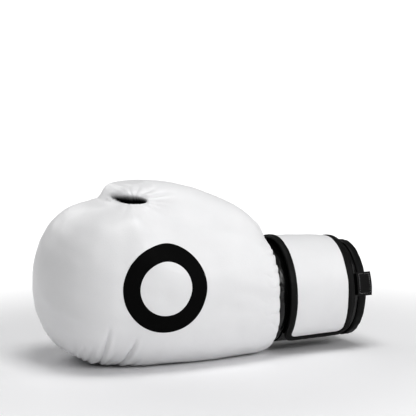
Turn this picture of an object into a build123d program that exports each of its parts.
"""Boxing glove for the left hand, 12 oz training size, with a wrap-over hook-and-loop wrist strap.

Frame: X runs along the forearm, with the cuff mouth at X = 0 and the fist at negative X. Y runs from the
back of the hand (negative) to the palm (positive). Z is up, with the thumb on top and the little finger
side on the floor.
The origin is the centre of the cuff mouth. All sizes are in millimetres.
"""

import os
from math import cos, degrees, pi, radians, sin, sqrt
from typing import NamedTuple

from build123d import *

# Overall sizes
GLOVE_LENGTH = 305.0
CUFF_LENGTH = 88.0  # mouth to the shoulder where the neck begins
FIST_END_X = -97.0  # wrist edge of the padded fist
FLOOR_Z = -52.0  # plane the glove lies on, little finger side down

# Cuff ellipse, measured on the outside of its leather
MOUTH_HALF_DEPTH, MOUTH_HALF_WIDTH = 38.0, 44.0
WRIST_HALF_DEPTH, WRIST_HALF_WIDTH = 42.0, 48.0
WRIST_RISE = 2.0  # the wrist end of the cuff sits this much higher than the mouth

# Layers, as offsets from the cuff leather's outside
CUFF_LEATHER = 1.4
CUFF_FOAM = (-1.6, -6.6)
CUFF_LINING = (-6.7, -7.6)
NECK_INSET = 2.5
NECK_END_X = -112.0
TRIM_LAYER = (1.2, 0.1)
LOOP_LAYER = (1.2, 0.1)
HOOK_LAYER = (2.4, 1.4)
STRAP_LINING_LAYER = (3.3, 2.6)
STRAP_PANEL_LAYER = (4.7, 3.4)
ELASTIC_LAYER = (4.4, 3.0)
STRAP_BINDING_LAYER = (5.6, 1.9)
STRAP_GROOVE_LAYER = (4.8, 2.5)

# Strap, along the forearm and as angles round the cuff: 0 is the palm, 90 the thumb side, 180 the back
STRAP_X = (-84.0, -16.0)
BINDING_WIDTH = 7.0
GROOVE_DEPTH = 3.5
ANCHOR_ANGLE, ELASTIC_END, SIDE_END, BACK_END, TIP_END = -35.0, 32.0, 105.0, 180.0, 238.0
LOOP_ANGLES, HOOK_ANGLES = (125.0, 240.0), (192.0, 229.0)
HINGE_GAP_ANGLE = 0.3

# Entry slit in the palm side of the cuff
SLIT_HALF_WIDTH = 11.0
SLIT_TOP_X = -172.0
TRIM_WIDTH = 12.0

# Fist layers
FIST_LEATHER = 2.0
KNUCKLE_PAD = 8.0
LINING = 1.0
LAYER_GAP = 0.2
SEAM_GAP = 0.3
THUMB_GAP = 0.4
THUMB_LEATHER = 1.6

# Panels on the palm side: a white strip and a black mesh gusset between the palm leather and the thumb
MESH_X, MESH_LOW_Z = (-215.0, -163.0), 14.0
GUSSET_X, GUSSET_Z = (-215.0, -90.0), (44.0, 60.0)
STRIP_Z = (36.0, 44.0)
TRIM_THICKNESS = TRIM_LAYER[0] - TRIM_LAYER[1]
GUSSET_THICKNESS, GUSSET_OVERLAP = 1.2, 8.0

STITCH_ROWS = (2.5, 9.5)  # distance of each row of threads from the slit's edge
STITCH_PITCH = 4.5
STITCH_SIZE = (3.0, 0.6, 0.7)
THREAD_RISE = TRIM_LAYER[0] + STITCH_SIZE[1] / 2 + 0.3  # centre of a thread above the leather

GRIP_BAR_CENTRE, GRIP_BAR_RADIUS, GRIP_BAR_LENGTH = (-222.0, 33.0, 3.0), 9.0, 58.0
EMBLEM_CENTRE = (-215.0, 24.0)
EMBLEM_RADII = (39.0, 24.0)
EMBLEM_THICKNESS = 0.4

# Cuff edge binding, closure tapes and label
BINDING_DEPTH, BINDING_WALL = 9.0, 1.1
LOOP_X, HOOK_X = (-76.0, -24.0), (-72.0, -28.0)
ELASTIC_X, ANCHOR_LAYER = (-79.0, -21.0), (4.2, 1.4)
TIP_BINDING_ANGLE = 8.0
LABEL_X, LABEL_LAYER, LABEL_Z, LABEL_HEIGHT = (-11.0, 4.0), (2.1, 1.3), 10.0, 24.0
FAR = 130.0  # past the glove on every side, for cutting tools


class Station(NamedTuple):
    """A cross-section across the hand: its X, its Y and Z limits, and its corner radius."""

    x: float
    y_back: float
    y_palm: float
    z_low: float
    z_high: float
    corner: float


FIST = [
    Station(FIST_END_X, -52, 50, -52.8, 58, 46),
    Station(-120, -56, 49, -52.8, 60, 46),
    Station(-150, -60, 48, -52.8, 63, 46),
    Station(-180, -63, 54, -52.8, 67, 48),
    Station(-205, -64, 68, -52.8, 73, 50),
    Station(-230, -62, 81, -52.8, 84, 54),
    Station(-255, -57, 85, -51, 92, 56),
    Station(-275, -47, 79, -44, 86, 54),
    Station(-290, -33, 65, -32, 72, 46),
    Station(-300, -14, 46, -14, 52, 28),
    Station(-GLOVE_LENGTH, 4, 30, 6, 34, 12),
]

HAND_POCKET = [
    Station(-118, -32, 40, -38, 38, 28),
    Station(-150, -30, 40, -38, 39, 28),
    Station(-180, -28, 42, -38, 40, 28),
    Station(-210, -24, 48, -38, 42, 28),
    Station(-235, -14, 52, -34, 42, 24),
    Station(-252, 2, 50, -26, 36, 20),
    Station(-261, 14, 40, -12, 24, 10),
]

NECK_ROOM = [
    Station(FIST_END_X + 1, -42.7, 42.7, -46.3, 50.7, 0),
    Station(HAND_POCKET[0].x - 1, -43.7, 43.7, -46.9, 52.1, 0),
]

THUMB = [
    Station(-100, -18, 20, 51, 66, 0),
    Station(-110, -32, 32, 50.5, 76, 0),
    Station(-130, -38, 43, 47, 88, 0),
    Station(-160, -38, 49, 48, 102, 0),
    Station(-190, -33, 52, 54, 110, 0),
    Station(-215, -23, 50, 59, 111, 0),
    Station(-235, -11, 46, 65, 106, 0),
    Station(-250, 5, 36, 74, 98, 0),
]

THUMB_POCKET = [
    Station(-114, -12, 20, 58, 67, 0),
    Station(-130, -16, 24, 57, 77, 0),
    Station(-160, -15, 28, 60, 88, 0),
    Station(-190, -10, 30, 68, 94, 0),
    Station(-215, 0, 30, 74, 96, 0),
    Station(-232, 10, 26, 80, 92, 0),
]


def lofted(stations, grow=0.0):
    """A smooth solid through the stations, grown outwards. Stations with no corner radius are ovals."""
    first, last = stations[0].x, stations[-1].x
    with BuildPart() as body:
        for s in stations:
            along = (s.x - first) / (last - first)
            with BuildSketch(Plane.YZ.offset(s.x - grow * along)):
                with Locations(((s.y_back + s.y_palm) / 2, (s.z_low + s.z_high) / 2)):
                    depth = s.y_palm - s.y_back + 2 * grow
                    height = s.z_high - s.z_low + 2 * grow
                    if s.corner:
                        RectangleRounded(depth, height, s.corner + grow)
                    else:
                        Ellipse(depth / 2, height / 2)
        loft()
    return body.part


def fist_shell(thickness, offset=0.0):
    """A skin of the fist: its outside stands offset proud of the leather. It is open at the wrist."""
    with BuildPart() as shell:
        add(lofted(FIST, offset))
        add(lofted(FIST, offset - thickness), mode=Mode.SUBTRACT)
    return shell.part


def cuff_ellipse(x, offset):
    """Half depth, half width and centre height of the cuff at x, offset from its leather's outside."""
    share = -x / CUFF_LENGTH
    half_depth = MOUTH_HALF_DEPTH + (WRIST_HALF_DEPTH - MOUTH_HALF_DEPTH) * share + offset
    half_width = MOUTH_HALF_WIDTH + (WRIST_HALF_WIDTH - MOUTH_HALF_WIDTH) * share + offset
    return half_depth, half_width, WRIST_RISE * share


def cuff_tube(x_from, x_to, layer):
    """A tapered oval tube round the cuff; layer is its outer and inner offset."""
    with BuildPart() as tube:
        for offset, mode in zip(layer, (Mode.ADD, Mode.SUBTRACT)):
            for x in (x_from, x_to):
                half_depth, half_width, centre_z = cuff_ellipse(x, offset)
                with BuildSketch(Plane.YZ.offset(x)):
                    with Locations((0, centre_z)):
                        Ellipse(half_depth, half_width)
            loft(mode=mode)
    return tube.part


def sector(angle_from, angle_to):
    """A wedge along X that keeps the stretch of the cuff between two angles."""
    steps = 4
    angles = [radians(angle_from + (angle_to - angle_from) * i / steps) for i in range(steps + 1)]
    rim = [(FAR * cos(a), FAR * sin(a)) for a in angles]
    with BuildPart() as wedge:
        with BuildSketch(Plane.YZ.offset(-FAR)):
            with BuildLine():
                Polyline((0, 0), *rim, close=True)
            make_face()
        extrude(amount=2 * FAR)
    return wedge.part


def cuff_arc(x_range, layer, angle_from, angle_to):
    """The stretch of a cuff tube between two angles."""
    with BuildPart() as arc:
        add(cuff_tube(*x_range, layer))
        add(sector(angle_from, angle_to), mode=Mode.INTERSECT)
    return arc.part


def palm_bar(x_range, z_range):
    """A block on the palm side, for picking out or cutting away part of a skin."""
    with BuildPart() as bar:
        with Locations(((x_range[0] + x_range[1]) / 2, FAR / 2, (z_range[0] + z_range[1]) / 2)):
            Box(x_range[1] - x_range[0], FAR, z_range[1] - z_range[0])
    return bar.part


def slit_prism(half_width, top_x, end_x=10.0):
    """The round-topped entry slit's outline, as a block through the palm side."""
    with BuildPart() as prism:
        with BuildSketch(Plane.XZ):
            with Locations((top_x + half_width, 0)):
                Circle(half_width)
            with Locations(((top_x + half_width + end_x) / 2, 0)):
                Rectangle(end_x - top_x - half_width, 2 * half_width)
        extrude(amount=-FAR)
    return prism.part


def palm_window(grow=0.0):
    """The outline of the black palm leather, as a block through the palm side."""
    with BuildPart() as prism:
        with BuildSketch(Plane.XZ):
            with Locations((-158, 0)):
                Circle(36 + grow)
            with Locations((-125, 0)):
                Rectangle(66, 72 + 2 * grow)
        extrude(amount=-FAR)
    return prism.part


def thumb_passage():
    """The opening between the hand pocket and the thumb pocket."""
    with BuildPart() as prism:
        with BuildSketch(Plane.XY.offset(20)):
            with Locations((-140, 4)):
                SlotOverall(40, 26)
        extrude(amount=50)
    return prism.part


def knuckle_region(grow=0.0):
    """The block over the backs of the fingers where the firm knuckle pad lies."""
    with BuildPart() as block:
        with Locations((-230, -40, 0)):
            Box(110 + 2 * grow, 80 + 2 * grow, 2 * FAR)
    return block.part


def emblem_prism():
    """The ring's outline, as a block through the back of the hand."""
    with BuildPart() as prism:
        with BuildSketch(Plane.XZ):
            with Locations(EMBLEM_CENTRE):
                Circle(EMBLEM_RADII[0])
                Circle(EMBLEM_RADII[1], mode=Mode.SUBTRACT)
        extrude(amount=FAR)
    return prism.part


def between(a, b, share):
    """The section a share of the way from station a to station b."""
    return Station(*(low + (high - low) * share for low, high in zip(a, b)))


def fist_palm_y(x, z):
    """Height of the palm leather's outside at x, z."""
    after = next(i for i, s in enumerate(FIST) if s.x <= x)
    a, b = FIST[after - 1], FIST[after]
    s = between(a, b, (x - a.x) / (b.x - a.x))
    past = max(z - (s.z_high - s.corner), (s.z_low + s.corner) - z, 0.0)
    return s.y_palm - s.corner + sqrt(s.corner**2 - past**2)


def cuff_palm_y(x, z):
    """Height of the cuff leather's outside at x, z, on the palm side."""
    half_depth, half_width, centre_z = cuff_ellipse(x, 0)
    return half_depth * sqrt(1 - ((z - centre_z) / half_width) ** 2)


def slit_path(half_width, start_x, pitch):
    """Points and headings spaced along the slit's round-topped outline, from its low to its high side."""
    straight = start_x - (SLIT_TOP_X + SLIT_HALF_WIDTH)
    bend = pi * half_width
    for i in range(int((2 * straight + bend) / pitch)):
        along = pitch * (i + 0.5)
        if along < straight:
            yield start_x - along, -half_width, 0.0
        elif along < straight + bend:
            swept = (along - straight) / half_width
            x = start_x - straight - half_width * sin(swept)
            yield x, -half_width * cos(swept), degrees(swept)
        else:
            yield start_x - 2 * straight - bend + along, half_width, 0.0


os.makedirs("parts", exist_ok=True)


def finish(name, builder):
    """Labels a finished piece and writes its file."""
    builder.part.label = name
    export_step(builder.part, f"parts/{name}.step")


# ---- Fist: leather, padding and lining ----

thumb_room = lofted(THUMB, THUMB_GAP)
fist_skin = fist_shell(FIST_LEATHER)
slit = slit_prism(SLIT_HALF_WIDTH, SLIT_TOP_X)
neck_room = lofted(NECK_ROOM)

with BuildPart() as fist_cover:
    add(fist_skin)
    with Locations((-GLOVE_LENGTH / 2, 0, FLOOR_Z - 10)):
        Box(2 * GLOVE_LENGTH, 2 * FAR, 20, mode=Mode.SUBTRACT)
    add(palm_window(SEAM_GAP), mode=Mode.SUBTRACT)
    add(palm_bar(GUSSET_X, (STRIP_Z[0] - SEAM_GAP, GUSSET_Z[1] + SEAM_GAP)), mode=Mode.SUBTRACT)
    add(palm_bar(MESH_X, (MESH_LOW_Z - SEAM_GAP, GUSSET_Z[1] + SEAM_GAP)), mode=Mode.SUBTRACT)
    add(thumb_room, mode=Mode.SUBTRACT)
    add(neck_room, mode=Mode.SUBTRACT)
finish("fist_cover", fist_cover)

with BuildPart() as fist_foam:
    add(lofted(FIST, -FIST_LEATHER - LAYER_GAP))
    add(lofted(HAND_POCKET, LAYER_GAP), mode=Mode.SUBTRACT)
    add(neck_room, mode=Mode.SUBTRACT)
    add(thumb_room, mode=Mode.SUBTRACT)
    add(thumb_passage(), mode=Mode.SUBTRACT)
    add(palm_bar((-200, FIST_END_X + 10), (-30, STRIP_Z[0] - 2)), mode=Mode.SUBTRACT)
    add(lofted(HAND_POCKET, KNUCKLE_PAD + LAYER_GAP) & knuckle_region(LAYER_GAP), mode=Mode.SUBTRACT)
finish("fist_foam", fist_foam)

with BuildPart() as knuckle_pad:
    add(lofted(HAND_POCKET, KNUCKLE_PAD))
    add(lofted(HAND_POCKET, LAYER_GAP), mode=Mode.SUBTRACT)
    add(knuckle_region(), mode=Mode.INTERSECT)
    add(thumb_room, mode=Mode.SUBTRACT)
finish("knuckle_pad", knuckle_pad)

with BuildPart() as hand_lining:
    add(lofted(HAND_POCKET))
    add(lofted(HAND_POCKET, -LINING), mode=Mode.SUBTRACT)
    with Locations((HAND_POCKET[0].x, 0, 0)):
        Box(2.2, FAR, FAR, mode=Mode.SUBTRACT)
    add(thumb_passage(), mode=Mode.SUBTRACT)
    add(slit_prism(SLIT_HALF_WIDTH + 1, SLIT_TOP_X - 1), mode=Mode.SUBTRACT)
finish("hand_lining", hand_lining)

with BuildPart() as grip_bar_core:
    with Locations(GRIP_BAR_CENTRE):
        Cylinder(GRIP_BAR_RADIUS - LINING - 0.1, GRIP_BAR_LENGTH - 4)
finish("grip_bar_core", grip_bar_core)

with BuildPart() as grip_bar_sleeve:
    with Locations(GRIP_BAR_CENTRE):
        Cylinder(GRIP_BAR_RADIUS, GRIP_BAR_LENGTH)
        Cylinder(GRIP_BAR_RADIUS - LINING, GRIP_BAR_LENGTH, mode=Mode.SUBTRACT)
finish("grip_bar_sleeve", grip_bar_sleeve)

# ---- Palm side ----

with BuildPart() as palm_panel:
    add(fist_skin)
    add(palm_window(), mode=Mode.INTERSECT)
    add(slit, mode=Mode.SUBTRACT)
    add(neck_room, mode=Mode.SUBTRACT)
finish("palm_panel", palm_panel)

with BuildPart() as palm_mesh:
    add(fist_skin)
    add(
        palm_bar(MESH_X, (MESH_LOW_Z, GUSSET_Z[1])) + palm_bar(GUSSET_X, GUSSET_Z),
        mode=Mode.INTERSECT,
    )
    add(palm_bar((MESH_X[1] - SEAM_GAP, FAR), (-FAR, GUSSET_Z[0] - SEAM_GAP)), mode=Mode.SUBTRACT)
    add(palm_window(SEAM_GAP), mode=Mode.SUBTRACT)
    add(thumb_room, mode=Mode.SUBTRACT)
    add(neck_room, mode=Mode.SUBTRACT)
finish("palm_mesh", palm_mesh)

with BuildPart() as thumb_side_strip:
    add(fist_skin)
    add(
        palm_bar((MESH_X[1] + SEAM_GAP, GUSSET_X[1]), (STRIP_Z[0], GUSSET_Z[0] - SEAM_GAP)),
        mode=Mode.INTERSECT,
    )
    add(palm_window(SEAM_GAP), mode=Mode.SUBTRACT)
    add(thumb_room, mode=Mode.SUBTRACT)
    add(neck_room, mode=Mode.SUBTRACT)
finish("thumb_side_strip", thumb_side_strip)

with BuildPart() as palm_slit_trim:
    add(fist_shell(TRIM_THICKNESS, TRIM_THICKNESS + LAYER_GAP))
    add(slit_prism(SLIT_HALF_WIDTH + TRIM_WIDTH, SLIT_TOP_X - TRIM_WIDTH), mode=Mode.INTERSECT)
    add(slit, mode=Mode.SUBTRACT)
finish("palm_slit_trim", palm_slit_trim)

with BuildPart() as palm_gusset:
    add(fist_shell(GUSSET_THICKNESS, -FIST_LEATHER - LAYER_GAP))
    add(slit_prism(SLIT_HALF_WIDTH + GUSSET_OVERLAP, SLIT_TOP_X - GUSSET_OVERLAP), mode=Mode.INTERSECT)
    with Locations((HAND_POCKET[0].x + FAR / 2, 0, 0)):
        Box(FAR, 2 * FAR, 2 * FAR, mode=Mode.SUBTRACT)
finish("palm_gusset", palm_gusset)

with BuildPart() as palm_slit_stitching:
    for row in STITCH_ROWS:
        for x, z, turn in slit_path(SLIT_HALF_WIDTH + row, FIST_END_X - 3, STITCH_PITCH):
            with Locations(Location((x, fist_palm_y(x - 3, z) + THREAD_RISE, z), (0, -turn, 0))):
                Box(*STITCH_SIZE)
finish("palm_slit_stitching", palm_slit_stitching)

with BuildPart() as back_emblem:
    add(fist_shell(EMBLEM_THICKNESS, EMBLEM_THICKNESS + LAYER_GAP))
    add(emblem_prism(), mode=Mode.INTERSECT)
finish("back_emblem", back_emblem)

# ---- Thumb ----

with BuildPart() as thumb_cover:
    add(lofted(THUMB))
    add(lofted(THUMB, -THUMB_LEATHER), mode=Mode.SUBTRACT)
    add(thumb_passage(), mode=Mode.SUBTRACT)
finish("thumb_cover", thumb_cover)

with BuildPart() as thumb_foam:
    add(lofted(THUMB, -THUMB_LEATHER - LAYER_GAP))
    add(lofted(THUMB_POCKET, LAYER_GAP), mode=Mode.SUBTRACT)
    add(thumb_passage(), mode=Mode.SUBTRACT)
finish("thumb_foam", thumb_foam)

with BuildPart() as thumb_lining:
    add(lofted(THUMB_POCKET))
    add(lofted(THUMB_POCKET, -LINING), mode=Mode.SUBTRACT)
    add(thumb_passage(), mode=Mode.SUBTRACT)
finish("thumb_lining", thumb_lining)

# ---- Cuff ----

SHOULDER_X = -CUFF_LENGTH
EDGE_X = -BINDING_WALL - LAYER_GAP

with BuildPart() as cuff_cover:
    add(cuff_tube(SHOULDER_X, EDGE_X, (0, -CUFF_LEATHER)))
    add(cuff_tube(SHOULDER_X - CUFF_LEATHER, SHOULDER_X, (0, -NECK_INSET - CUFF_LEATHER)))
    add(cuff_tube(NECK_END_X, SHOULDER_X - CUFF_LEATHER, (-NECK_INSET, -NECK_INSET - CUFF_LEATHER)))
    add(slit, mode=Mode.SUBTRACT)
finish("cuff_cover", cuff_cover)

with BuildPart() as cuff_foam:
    add(cuff_tube(SHOULDER_X + LAYER_GAP, EDGE_X, CUFF_FOAM))
    add(slit_prism(SLIT_HALF_WIDTH + 1, SLIT_TOP_X), mode=Mode.SUBTRACT)
finish("cuff_foam", cuff_foam)

with BuildPart() as neck_foam:
    neck_layer = (-NECK_INSET - CUFF_LEATHER - LAYER_GAP, CUFF_FOAM[1])
    add(cuff_tube(NECK_END_X + 1, SHOULDER_X - LAYER_GAP, neck_layer))
    add(slit_prism(SLIT_HALF_WIDTH + 1, SLIT_TOP_X), mode=Mode.SUBTRACT)
finish("neck_foam", neck_foam)

with BuildPart() as cuff_lining:
    add(cuff_tube(NECK_END_X, EDGE_X, CUFF_LINING))
    add(slit, mode=Mode.SUBTRACT)
finish("cuff_lining", cuff_lining)

with BuildPart() as cuff_binding:
    add(cuff_tube(-BINDING_DEPTH, 0, (BINDING_WALL, CUFF_LINING[1] - BINDING_WALL)))
    rim = edges().filter_by(GeomType.ELLIPSE).group_by(Axis.X)[-1].sort_by(SortBy.LENGTH)[-1]
    fillet(rim, BINDING_WALL * 0.8)
    folded_over = (LAYER_GAP / 2, CUFF_LINING[1] - LAYER_GAP / 2)
    add(cuff_tube(-BINDING_DEPTH, EDGE_X + LAYER_GAP, folded_over), mode=Mode.SUBTRACT)
    add(slit, mode=Mode.SUBTRACT)
finish("cuff_binding", cuff_binding)

with BuildPart() as cuff_slit_trim:
    add(cuff_tube(SHOULDER_X, -BINDING_DEPTH - 1, TRIM_LAYER))
    reach = SLIT_HALF_WIDTH + TRIM_WIDTH
    add(palm_bar((-FAR, 0), (-reach, reach)), mode=Mode.INTERSECT)
    add(slit, mode=Mode.SUBTRACT)
finish("cuff_slit_trim", cuff_slit_trim)

with BuildPart() as cuff_slit_stitching:
    for row in STITCH_ROWS:
        for side in (-1, 1):
            z = side * (SLIT_HALF_WIDTH + row)
            for i in range(int((CUFF_LENGTH - BINDING_DEPTH) / STITCH_PITCH)):
                x = SHOULDER_X + STITCH_PITCH * (i + 0.5)
                with Locations((x, cuff_palm_y(x - 1.5, z) + THREAD_RISE, z)):
                    Box(*STITCH_SIZE)
finish("cuff_slit_stitching", cuff_slit_stitching)

with BuildPart() as cuff_gusset:
    gusset_top = CUFF_LINING[1] - LAYER_GAP
    add(cuff_tube(NECK_END_X + 2, -BINDING_DEPTH - 1, (gusset_top, gusset_top - GUSSET_THICKNESS)))
    reach = SLIT_HALF_WIDTH + GUSSET_OVERLAP
    add(palm_bar((-FAR, 0), (-reach, reach)), mode=Mode.INTERSECT)
finish("cuff_gusset", cuff_gusset)

with BuildPart() as loop_tape:
    add(cuff_arc(LOOP_X, LOOP_LAYER, *LOOP_ANGLES))
finish("loop_tape", loop_tape)

with BuildPart() as size_label:
    add(cuff_tube(*LABEL_X, LABEL_LAYER))
    with Locations((0, -FAR / 2, LABEL_Z)):
        Box(FAR, FAR, LABEL_HEIGHT, mode=Mode.INTERSECT)
finish("size_label", size_label)

# ---- Strap ----


def strap_layer(name, x_range, layer, angle_from, angle_to):
    """One layer of the strap between two angles, with room for the hinges at its ends."""
    with BuildPart() as piece:
        add(cuff_arc(x_range, layer, angle_from + HINGE_GAP_ANGLE, angle_to - HINGE_GAP_ANGLE))
    finish(name, piece)


def strap_binding(name, angle_from, angle_to, end_width_angle=0.0):
    """The folded edge tape of one strap section; end_width_angle also closes its free end."""
    low, high = STRAP_X
    window = (low + BINDING_WIDTH, high - BINDING_WIDTH)
    groove = (low + GROOVE_DEPTH, high - GROOVE_DEPTH)
    window_end = angle_to - end_width_angle if end_width_angle else angle_to + 5
    groove_end = angle_to - end_width_angle / 2 if end_width_angle else angle_to + 5
    with BuildPart() as tape:
        hinge_to_hinge = (angle_from + HINGE_GAP_ANGLE, angle_to - HINGE_GAP_ANGLE)
        add(cuff_arc(STRAP_X, STRAP_BINDING_LAYER, *hinge_to_hinge))
        add(cuff_arc(window, (9, -1), angle_from - 5, window_end), mode=Mode.SUBTRACT)
        add(cuff_arc(groove, STRAP_GROOVE_LAYER, angle_from - 5, groove_end), mode=Mode.SUBTRACT)
    finish(name, tape)


with BuildPart() as strap_anchor:
    add(cuff_arc(ELASTIC_X, ANCHOR_LAYER, ANCHOR_ANGLE - 26, ANCHOR_ANGLE - HINGE_GAP_ANGLE))
finish("strap_anchor", strap_anchor)

strap_layer("strap_elastic", ELASTIC_X, ELASTIC_LAYER, ANCHOR_ANGLE, ELASTIC_END)
inside = (STRAP_X[0] + GROOVE_DEPTH + 0.2, STRAP_X[1] - GROOVE_DEPTH - 0.2)
for section, start, end, tip in (
    ("side", ELASTIC_END, SIDE_END, 0.0),
    ("back", SIDE_END, BACK_END, 0.0),
    ("tip", BACK_END, TIP_END, TIP_BINDING_ANGLE),
):
    cloth_end = end - tip / 2 - 0.2 if tip else end
    strap_layer("strap_panel_" + section, inside, STRAP_PANEL_LAYER, start, cloth_end)
    strap_layer("strap_lining_" + section, inside, STRAP_LINING_LAYER, start, cloth_end)
    strap_binding("strap_binding_" + section, start, end, tip)
strap_layer("hook_tape", HOOK_X, HOOK_LAYER, *HOOK_ANGLES)
